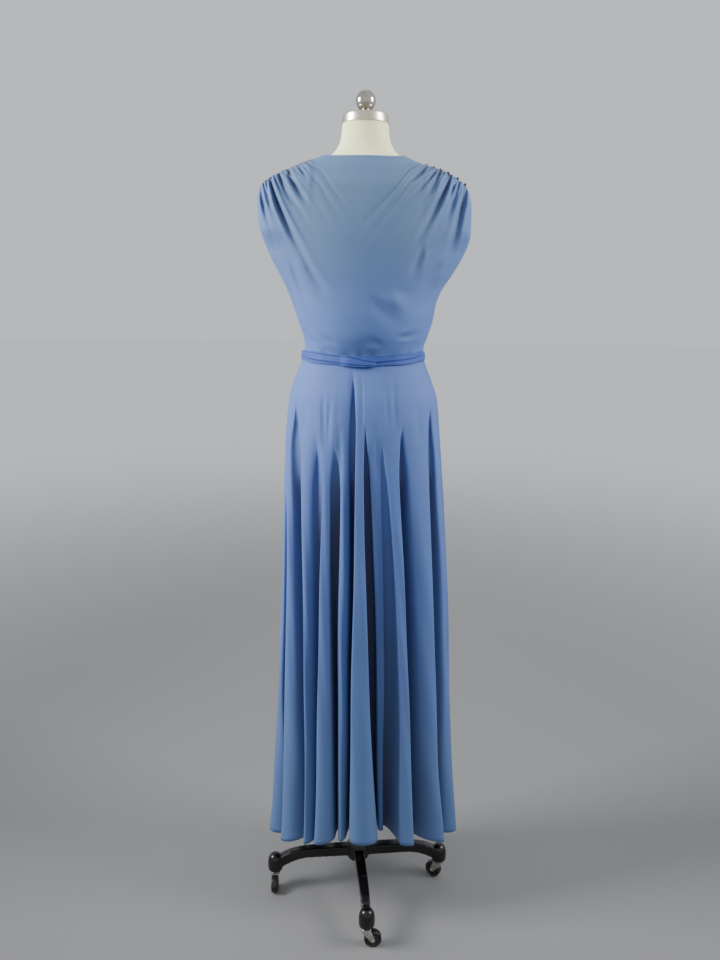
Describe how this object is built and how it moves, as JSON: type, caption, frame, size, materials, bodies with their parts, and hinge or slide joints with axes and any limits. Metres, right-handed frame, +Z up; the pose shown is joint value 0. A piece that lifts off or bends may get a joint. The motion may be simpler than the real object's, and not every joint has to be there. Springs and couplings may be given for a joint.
{
  "type": "maxi dress on a limbless dress form",
  "caption": "Sleeveless maxi dress with gathered shoulders, a crossed sash and a fluted skirt, on a limbless form with a castor stand.",
  "frame": {"origin": "on the floor under the axis of the pole, with the castor wheels on z = 0", "axes": "+Z up along the pole; the dress faces -Y, so +X is the side of the wearer's left arm"},
  "size_m": [0.4578, 0.4602, 1.8475],
  "materials": {
    "dress_crepe": "matte to silky woven crepe, soft fine nap, no pattern",
    "sash_crepe": "the same crepe as the dress, doubled and pressed",
    "form_cover": "plain cream woven cover drawn smooth over a hard shell",
    "brushed_nickel": "satin nickel cap",
    "chrome": "mirror chrome",
    "black_casting": "glossy black enamel on cast iron",
    "zinc_plate": "bright zinc plated pressed steel",
    "black_wheel": "black moulded wheel, half matt",
    "button_dark": "small dark glossy balls"
  },
  "bodies": {
    "stand": {"stand_casting": "black_casting", "pole_tube": "chrome", "tube_collar": "black_casting"},
    "form": {"form_torso": "form_cover", "form_flange": "black_casting", "neck_cap": "brushed_nickel", "finial_ball": "chrome", "pole_inner": "chrome", "skirt_back_left": "dress_crepe", "skirt_back_right": "dress_crepe", "skirt_front": "dress_crepe", "bodice_back": "dress_crepe", "bodice_front": "dress_crepe", "sash_left": "sash_crepe", "sash_right": "sash_crepe", "shoulder_button_1": "button_dark", "shoulder_button_2": "button_dark", "shoulder_button_3": "button_dark", "shoulder_button_4": "button_dark", "shoulder_button_5": "button_dark", "shoulder_button_6": "button_dark"},
    "castor_1": {"castor_fork_1": "zinc_plate"},
    "wheel_1": {"castor_wheel_1": "black_wheel"},
    "castor_2": {"castor_fork_2": "zinc_plate"},
    "wheel_2": {"castor_wheel_2": "black_wheel"},
    "castor_3": {"castor_fork_3": "zinc_plate"},
    "wheel_3": {"castor_wheel_3": "black_wheel"},
    "castor_4": {"castor_fork_4": "zinc_plate"},
    "wheel_4": {"castor_wheel_4": "black_wheel"}
  },
  "joints": [
    {"name": "form_height", "type": "slide", "parent": "stand", "child": "form", "axis": [0, 0, 1], "range_m": [-0.04, 0.2]},
    {"name": "castor_1_swivel", "type": "hinge", "parent": "stand", "child": "castor_1", "pos_m": [0.20395, 0.02072, 0.047], "axis": [0, 0, 1], "continuous": true},
    {"name": "wheel_1_roll", "type": "hinge", "parent": "castor_1", "child": "wheel_1", "pos_m": [0.20395, 0.03472, 0.01962], "axis": [-1, 0, 0], "continuous": true},
    {"name": "castor_2_swivel", "type": "hinge", "parent": "stand", "child": "castor_2", "pos_m": [-0.02072, 0.20395, 0.047], "axis": [0, 0, 1], "continuous": true},
    {"name": "wheel_2_roll", "type": "hinge", "parent": "castor_2", "child": "wheel_2", "pos_m": [-0.03472, 0.20395, 0.01962], "axis": [0, -1, 0], "continuous": true},
    {"name": "castor_3_swivel", "type": "hinge", "parent": "stand", "child": "castor_3", "pos_m": [-0.20395, -0.02072, 0.047], "axis": [0, 0, 1], "continuous": true},
    {"name": "wheel_3_roll", "type": "hinge", "parent": "castor_3", "child": "wheel_3", "pos_m": [-0.19248, -0.02875, 0.01962], "axis": [0.5736, 0.8192, 0], "continuous": true},
    {"name": "castor_4_swivel", "type": "hinge", "parent": "stand", "child": "castor_4", "pos_m": [0.02072, -0.20395, 0.047], "axis": [0, 0, 1], "continuous": true},
    {"name": "wheel_4_roll", "type": "hinge", "parent": "castor_4", "child": "wheel_4", "pos_m": [0.02434, -0.21747, 0.01962], "axis": [0.9659, 0.2588, 0], "continuous": true}
  ]
}
